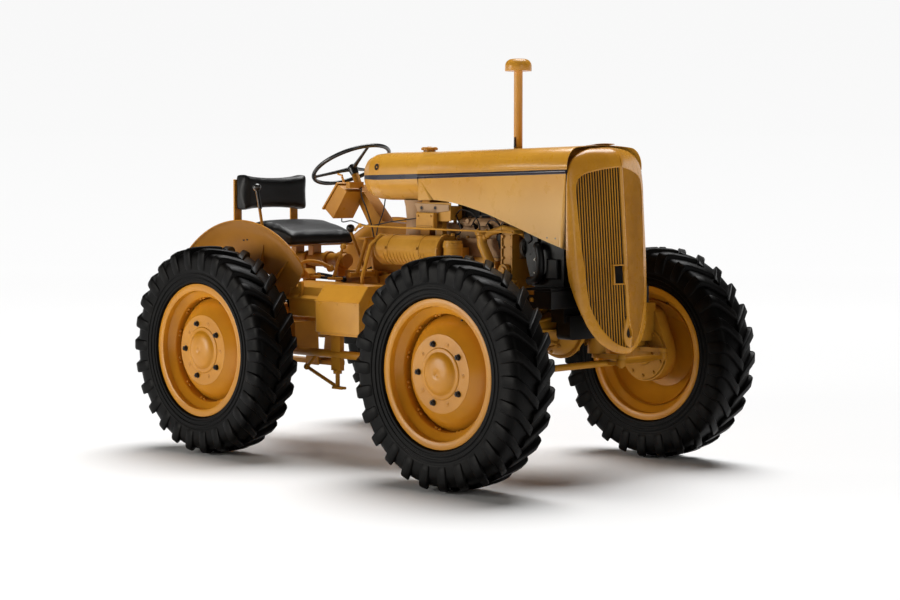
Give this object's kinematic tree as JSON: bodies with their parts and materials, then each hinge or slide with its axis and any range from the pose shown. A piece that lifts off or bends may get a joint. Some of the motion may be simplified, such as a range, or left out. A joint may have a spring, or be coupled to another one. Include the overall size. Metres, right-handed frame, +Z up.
{
  "type": "vintage farm tractor",
  "caption": "Small four-wheel-drive farm tractor with equal wheels, portal hubs, a shield-shaped grille, arched hood with hinged side panels, and an open driver seat.",
  "frame": {"origin": "on the ground, under the middle of the wheelbase and of the track", "axes": "+X forward, +Y to the driver's left, +Z up"},
  "size_m": [2.74, 1.715, 1.958],
  "materials": {
    "ochre": "gloss",
    "chassis_ochre": "worn satin",
    "engine_castings": "painted, oily",
    "wheel_paint": "gloss",
    "tyre_rubber": "matt",
    "black_vinyl": "grained",
    "black_plastic": "gloss",
    "black_paint": "satin",
    "bare_steel": "dull"
  },
  "bodies": {
    "chassis": {"control_levers": "chassis_ochre", "cross_tube": "chassis_ochre", "cylinder_head": "engine_castings", "drawbar": "chassis_ochre", "engine_block": "engine_castings", "engine_fittings": "engine_castings", "fan": "engine_castings", "fender_left": "ochre", "fender_right": "ochre", "filler_cap": "ochre", "front_axle": "engine_castings", "fuel_tank": "ochre", "grille_bars": "ochre", "grille_shell": "ochre", "hood_top": "ochre", "instrument_box": "ochre", "intake_stack": "ochre", "lower_tube_left": "chassis_ochre", "lower_tube_right": "chassis_ochre", "manifold": "engine_castings", "nose_plate": "chassis_ochre", "pedals": "chassis_ochre", "pto_shaft": "bare_steel", "radiator": "black_paint", "rail_left": "chassis_ochre", "rail_right": "chassis_ochre", "rear_axle": "engine_castings", "seat_back": "black_vinyl", "seat_cushion": "black_vinyl", "seat_frame": "chassis_ochre", "seat_tube": "chassis_ochre", "side_box_left": "ochre", "side_box_right": "ochre", "steering_column": "chassis_ochre", "steering_gear": "chassis_ochre", "tank_stand": "chassis_ochre", "transmission": "engine_castings"},
    "hood_panel_left": {"hood_left": "ochre"},
    "hood_panel_right": {"hood_right": "ochre"},
    "knuckle_left": {"knuckle_left": "engine_castings"},
    "knuckle_right": {"knuckle_right": "engine_castings"},
    "pitman_arm": {"pitman_arm": "chassis_ochre"},
    "wheel_front_left": {"rim_front_left": "wheel_paint", "tyre_front_left": "tyre_rubber"},
    "wheel_front_right": {"rim_front_right": "wheel_paint", "tyre_front_right": "tyre_rubber"},
    "wheel_rear_left": {"rim_rear_left": "wheel_paint", "tyre_rear_left": "tyre_rubber"},
    "wheel_rear_right": {"rim_rear_right": "wheel_paint", "tyre_rear_right": "tyre_rubber"},
    "steering_wheel": {"steering_wheel": "black_plastic"},
    "tie_rod": {"tie_rod": "chassis_ochre"}
  },
  "joints": [
    {"name": "steer_right", "type": "hinge", "parent": "chassis", "child": "knuckle_right", "pos_m": [0.845, -0.59, 0.685], "axis": [0, 0, 1], "range_deg": [-28, 28]},
    {"name": "steer_left", "type": "hinge", "parent": "chassis", "child": "knuckle_left", "pos_m": [0.845, 0.59, 0.685], "axis": [0, 0, 1], "range_deg": [-28, 28]},
    {"name": "tie_rod_end", "type": "hinge", "parent": "knuckle_right", "child": "tie_rod", "pos_m": [0.995, -0.59, 0.53], "axis": [0, 0, 1], "range_deg": [-28, 28]},
    {"name": "drop_arm_turn", "type": "hinge", "parent": "chassis", "child": "pitman_arm", "pos_m": [0.93, 0.165, 0.6], "axis": [0, 0, 1], "range_deg": [-28, 28]},
    {"name": "steering_wheel_turn", "type": "hinge", "parent": "chassis", "child": "steering_wheel", "pos_m": [-0.609, 0, 1.462], "axis": [-0.4695, 0, 0.8829], "range_deg": [-448, 448]},
    {"name": "hood_right_open", "type": "hinge", "parent": "chassis", "child": "hood_panel_right", "pos_m": [0.05, -0.1635, 1.402], "axis": [0.9952, -0.0965, 0.0169], "range_deg": [-75, 0]},
    {"name": "hood_left_open", "type": "hinge", "parent": "chassis", "child": "hood_panel_left", "pos_m": [0.05, 0.1635, 1.402], "axis": [0.9952, 0.0965, 0.0169], "range_deg": [0, 75]},
    {"name": "wheel_front_right_roll", "type": "hinge", "parent": "knuckle_right", "child": "wheel_front_right", "pos_m": [0.845, -0.7325, 0.525], "axis": [0, 1, 0], "continuous": true},
    {"name": "wheel_front_left_roll", "type": "hinge", "parent": "knuckle_left", "child": "wheel_front_left", "pos_m": [0.845, 0.7325, 0.525], "axis": [0, 1, 0], "continuous": true},
    {"name": "wheel_rear_right_roll", "type": "hinge", "parent": "chassis", "child": "wheel_rear_right", "pos_m": [-0.845, -0.7325, 0.525], "axis": [0, 1, 0], "continuous": true},
    {"name": "wheel_rear_left_roll", "type": "hinge", "parent": "chassis", "child": "wheel_rear_left", "pos_m": [-0.845, 0.7325, 0.525], "axis": [0, 1, 0], "continuous": true}
  ],
  "couplings": [
    {"joint": "steer_left", "follows": "steer_right", "ratio": 1},
    {"joint": "tie_rod_end", "follows": "steer_right", "ratio": -1},
    {"joint": "drop_arm_turn", "follows": "steer_right", "ratio": 1},
    {"joint": "steering_wheel_turn", "follows": "steer_right", "ratio": 16}
  ]
}
